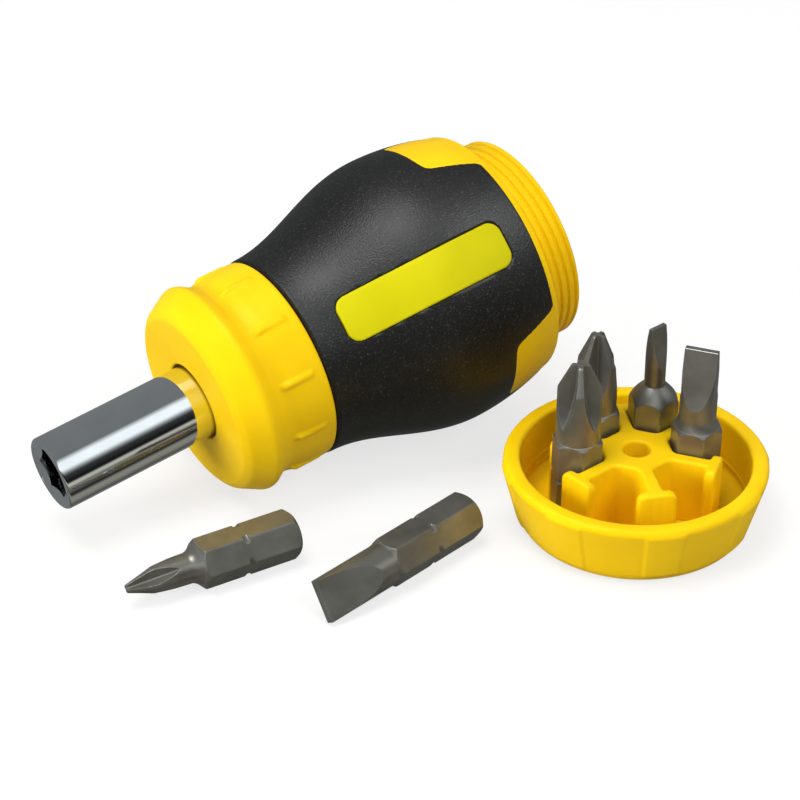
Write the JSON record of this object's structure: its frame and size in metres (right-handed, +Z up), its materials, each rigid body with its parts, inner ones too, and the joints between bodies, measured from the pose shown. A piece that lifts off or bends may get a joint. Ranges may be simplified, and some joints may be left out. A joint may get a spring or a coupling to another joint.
{
  "type": "screwdriver",
  "caption": "Stubby ratchet screwdriver with a soft grip and hexagonal bit socket, shown open with its end cap, bit rack and interchangeable bits beside it.",
  "frame": {"origin": "centre of the end cap's flat base, on the surface that everything lies on", "axes": "+Z up, away from the surface; +X along the lying handle, from its cap end towards the bit socket; +Y from the handle towards the cap"},
  "size_m": [0.09, 0.0796, 0.0417],
  "materials": {
    "yellow_plastic": "semi-gloss moulded plastic",
    "label_yellow": "printed inlay, satin",
    "black_rubber": "fine-grained soft rubber",
    "chrome": "mirror plated",
    "bit_steel": "blasted tool steel",
    "hardened_steel": "ground",
    "spring_steel": "drawn wire and pressed strip",
    "zinc": "die-cast",
    "magnet": "nickel-plated"
  },
  "bodies": {
    "handle": {"handle_core": "yellow_plastic", "grip": "black_rubber", "label": "label_yellow", "ratchet_housing": "zinc", "housing_cover": "spring_steel", "collar_snap_ring": "spring_steel", "forward_pawl_spring": "spring_steel", "reverse_pawl_spring": "spring_steel", "detent_spring": "spring_steel"},
    "selector": {"selector_collar": "yellow_plastic"},
    "holder": {"bit_holder": "chrome", "socket_magnet": "magnet", "socket_ring": "spring_steel", "ratchet_gear": "hardened_steel", "holder_circlip": "spring_steel"},
    "forward_pawl": {"forward_pawl": "hardened_steel"},
    "reverse_pawl": {"reverse_pawl": "hardened_steel"},
    "detent": {"detent_ball": "spring_steel"},
    "cap": {"cap": "yellow_plastic"},
    "rack": {"bit_rack": "yellow_plastic"},
    "medium_slotted_bit": {"medium_slotted_bit": "bit_steel"},
    "small_slotted_bit": {"small_slotted_bit": "bit_steel"},
    "phillips_2_bit": {"phillips_2_bit": "bit_steel"},
    "phillips_3_bit": {"phillips_3_bit": "bit_steel"},
    "phillips_1_bit": {"phillips_1_bit": "bit_steel"},
    "wide_slotted_bit": {"wide_slotted_bit": "bit_steel"}
  },
  "joints": [
    {"name": "selector_turn", "type": "hinge", "parent": "handle", "child": "selector", "pos_m": [0.04087, -0.0402, 0.0159], "axis": [0.9876, 0, -0.157], "range_deg": [-20, 20]},
    {"name": "holder_spin", "type": "hinge", "parent": "handle", "child": "holder", "pos_m": [0.04087, -0.0402, 0.0159], "axis": [0.9876, 0, -0.157], "continuous": true},
    {"name": "forward_pawl_lift", "type": "slide", "parent": "handle", "child": "forward_pawl", "axis": [0.157, 0, 0.9876], "range_m": [0, 0.0009], "stiffness_N_per_m": 150, "springref_m": -0.0005, "deforming": ["forward_pawl_spring"]},
    {"name": "reverse_pawl_lift", "type": "slide", "parent": "handle", "child": "reverse_pawl", "axis": [-0.157, 0, -0.9876], "range_m": [0, 0.0009], "stiffness_N_per_m": 150, "springref_m": -0.0005, "deforming": ["reverse_pawl_spring"]},
    {"name": "detent_press", "type": "slide", "parent": "handle", "child": "detent", "axis": [0, 1, 0], "range_m": [-0.0003, 0.00045], "stiffness_N_per_m": 400, "deforming": ["detent_spring"]},
    {"name": "cap_lift", "type": "slide", "parent": "handle", "child": "cap", "axis": [0, 0, 1], "range_m": [0, 0.06]},
    {"name": "rack_turn", "type": "hinge", "parent": "cap", "child": "rack", "pos_m": [0, 0, 0.002], "axis": [0, 0, 1], "continuous": true},
    {"name": "medium_slotted_bit_lift", "type": "slide", "parent": "rack", "child": "medium_slotted_bit", "axis": [0, 0, 1], "range_m": [0, 0.03]},
    {"name": "small_slotted_bit_lift", "type": "slide", "parent": "rack", "child": "small_slotted_bit", "axis": [0, 0, 1], "range_m": [0, 0.03]},
    {"name": "phillips_2_bit_lift", "type": "slide", "parent": "rack", "child": "phillips_2_bit", "axis": [0, 0, 1], "range_m": [0, 0.03]},
    {"name": "phillips_3_bit_lift", "type": "slide", "parent": "rack", "child": "phillips_3_bit", "axis": [0, 0, 1], "range_m": [0, 0.03]},
    {"name": "phillips_1_bit_lift", "type": "slide", "parent": "handle", "child": "phillips_1_bit", "axis": [0, 0, 1], "range_m": [0, 0.04]},
    {"name": "wide_slotted_bit_lift", "type": "slide", "parent": "handle", "child": "wide_slotted_bit", "axis": [0, 0, 1], "range_m": [0, 0.04]}
  ]
}
